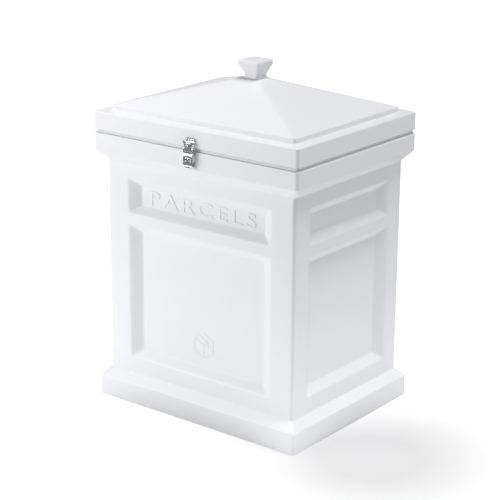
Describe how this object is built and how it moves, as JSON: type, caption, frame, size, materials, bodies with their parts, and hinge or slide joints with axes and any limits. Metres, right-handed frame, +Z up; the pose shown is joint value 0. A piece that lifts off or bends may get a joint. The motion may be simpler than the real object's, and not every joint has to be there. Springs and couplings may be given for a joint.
{
  "type": "parcel drop box",
  "caption": "Free-standing moulded box for parcels, with recessed panels, a hinged hipped lid with a square knob, and a toggle latch over a padlock staple.",
  "frame": {"origin": "centre of the flat base, on the ground", "axes": "+Z up, -Y out of the front with the latch, +X to the right of someone facing the front"},
  "size_m": [0.6286, 0.5367, 0.8849],
  "materials": {
    "moulded_shell": "satin white moulded polyethylene with a fine orange-peel texture",
    "moulded_liner": "matte white moulded polyethylene",
    "latch_chrome": "polished chrome with fine scratches",
    "steel_hardware": "bright stainless steel"
  },
  "bodies": {
    "root": {"body_shell": "moulded_shell", "body_liner": "moulded_liner", "hinge_leaf_body_left": "steel_hardware", "hinge_leaf_body_right": "steel_hardware", "hinge_pin_left": "steel_hardware", "hinge_pin_right": "steel_hardware", "hinge_screw_body_left_1": "steel_hardware", "hinge_screw_body_left_2": "steel_hardware", "hinge_screw_body_left_3": "steel_hardware", "hinge_screw_body_right_1": "steel_hardware", "hinge_screw_body_right_2": "steel_hardware", "hinge_screw_body_right_3": "steel_hardware", "latch_base": "latch_chrome", "padlock_staple": "latch_chrome", "latch_base_screw_1": "steel_hardware", "latch_base_screw_2": "steel_hardware", "latch_base_screw_3": "steel_hardware", "latch_base_screw_4": "steel_hardware", "latch_pivot_pin": "steel_hardware"},
    "lid": {"lid_shell": "moulded_shell", "lid_liner": "moulded_liner", "lid_knob": "moulded_shell", "knob_bolt": "steel_hardware", "knob_washer": "steel_hardware", "hinge_leaf_lid_left": "steel_hardware", "hinge_leaf_lid_right": "steel_hardware", "hinge_screw_lid_left_1": "steel_hardware", "hinge_screw_lid_left_2": "steel_hardware", "hinge_screw_lid_left_3": "steel_hardware", "hinge_screw_lid_right_1": "steel_hardware", "hinge_screw_lid_right_2": "steel_hardware", "hinge_screw_lid_right_3": "steel_hardware", "latch_keeper": "latch_chrome", "keeper_screw_1": "steel_hardware", "keeper_screw_2": "steel_hardware"},
    "lever": {"latch_lever": "latch_chrome", "claw_pin": "steel_hardware"},
    "claw": {"latch_claw": "latch_chrome"}
  },
  "joints": [
    {"name": "lid_hinge", "type": "hinge", "parent": "root", "child": "lid", "pos_m": [0, 0.2538, 0.70475], "axis": [-1, 0, 0], "range_deg": [0, 100]},
    {"name": "lever_pivot", "type": "hinge", "parent": "root", "child": "lever", "pos_m": [0, -0.2565, 0.708], "axis": [-1, 0, 0], "range_deg": [0, 100]},
    {"name": "claw_swing", "type": "hinge", "parent": "lever", "child": "claw", "pos_m": [0, -0.2575, 0.7005], "axis": [1, 0, 0], "range_deg": [0, 100]}
  ],
  "couplings": [
    {"joint": "claw_swing", "follows": "lever_pivot", "ratio": 1}
  ]
}
